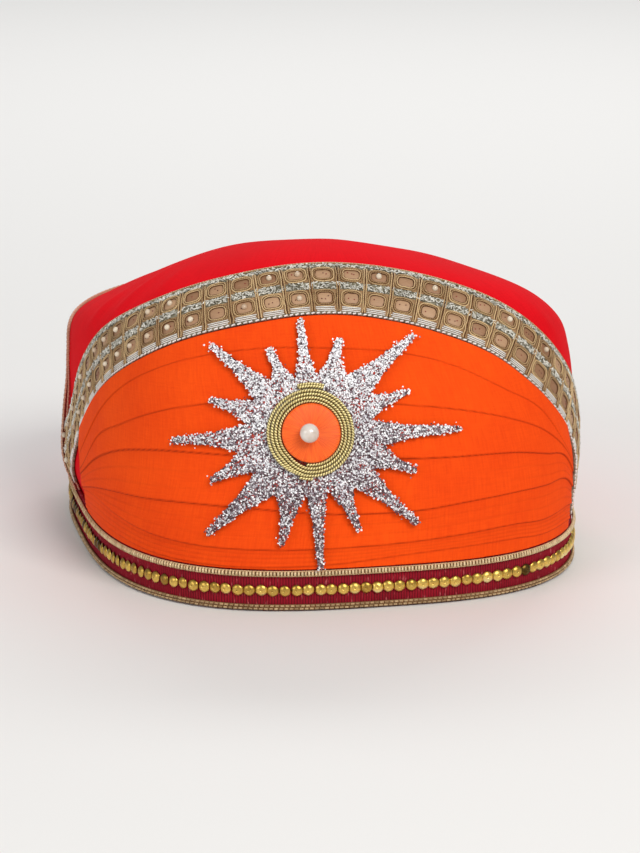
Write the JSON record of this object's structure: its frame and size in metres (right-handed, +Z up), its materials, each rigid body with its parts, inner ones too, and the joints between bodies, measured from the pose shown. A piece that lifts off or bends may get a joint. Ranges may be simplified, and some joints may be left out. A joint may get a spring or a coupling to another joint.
{
  "type": "tied turban pagri",
  "caption": "Ready-tied turban with a domed red cloth crown, pleated orange front, wide metallic braid, trimmed rim and a rayed star with a pearl",
  "frame": {"origin": "middle of the outline on the surface that the hem rests on", "axes": "+Z up, -Y the front with the star, +X the right side as seen from the front"},
  "size_m": [0.1878, 0.2228, 0.1159],
  "materials": {
    "red_cotton": "plain-woven red cotton over a stiff base, matt",
    "orange_cotton": "plain-woven orange cotton laid in pleats, matt",
    "zari_braid": "woven braid of gold, tan and silver metallic thread with beads",
    "pink_edging": "narrow folded peach-pink edging",
    "maroon_ribbon": "ribbed maroon ribbon",
    "narrow_braid": "narrow woven gold braid",
    "gold_sequins": "gold metallised cup sequins, tarnished here and there",
    "silver_glitter": "chunky silver glitter on cloth",
    "orange_thread": "orange silk thread wound over a pad",
    "gold_purl": "twisted gold purl cord, slightly aged",
    "pearl_bead": "pearl lustre"
  },
  "bodies": {
    "root": {"crown": "red_cotton", "front_wrap": "orange_cotton", "zari_band": "zari_braid", "back_lace": "pink_edging", "rim_ribbon": "maroon_ribbon", "rim_braid_upper": "narrow_braid", "rim_braid_lower": "narrow_braid", "sequin_string": "gold_sequins", "sunburst": "silver_glitter", "medallion_pad": "orange_thread", "medallion_coil": "gold_purl", "pearl": "pearl_bead"}
  },
  "joints": []
}
